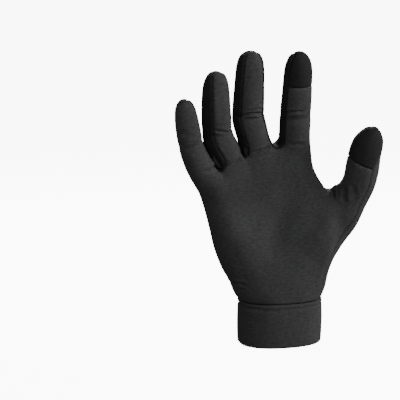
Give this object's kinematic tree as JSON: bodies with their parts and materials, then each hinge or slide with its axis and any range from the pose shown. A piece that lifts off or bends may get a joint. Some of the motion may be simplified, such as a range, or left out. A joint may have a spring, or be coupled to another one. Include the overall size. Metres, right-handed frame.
{
  "type": "glove liner",
  "caption": "Thin knitted glove liner for a right hand in its worn form, with separate fingers and thumb, finger side strips, darker touch pads and a doubled cuff open at the wrist.",
  "frame": {"origin": "centre of the cuff's lower rim, where the wrist goes in", "axes": "+Z from the cuff to the fingertips, the palm faces -Y and the back of the hand +Y, the thumb is on the +X side and the little finger on the -X side"},
  "size_m": [0.1661, 0.0608, 0.2364],
  "materials": {
    "palm_knit": "matt fine jersey knit, charcoal",
    "back_knit": "matt fine jersey knit, charcoal",
    "fourchette_knit": "matt fine jersey knit, dark charcoal",
    "touch_pad_knit": "matt fine knit with conductive yarn, near black",
    "cuff_knit": "matt fine jersey knit, charcoal, doubled"
  },
  "bodies": {
    "root": {"palm_panel": "palm_knit", "back_panel": "back_knit", "thumb_back_panel": "back_knit", "fourchette_little_ring": "fourchette_knit", "fourchette_ring_middle": "fourchette_knit", "fourchette_middle_index": "fourchette_knit", "index_touch_pad": "touch_pad_knit", "thumb_touch_pad": "touch_pad_knit", "cuff": "cuff_knit"}
  },
  "joints": []
}
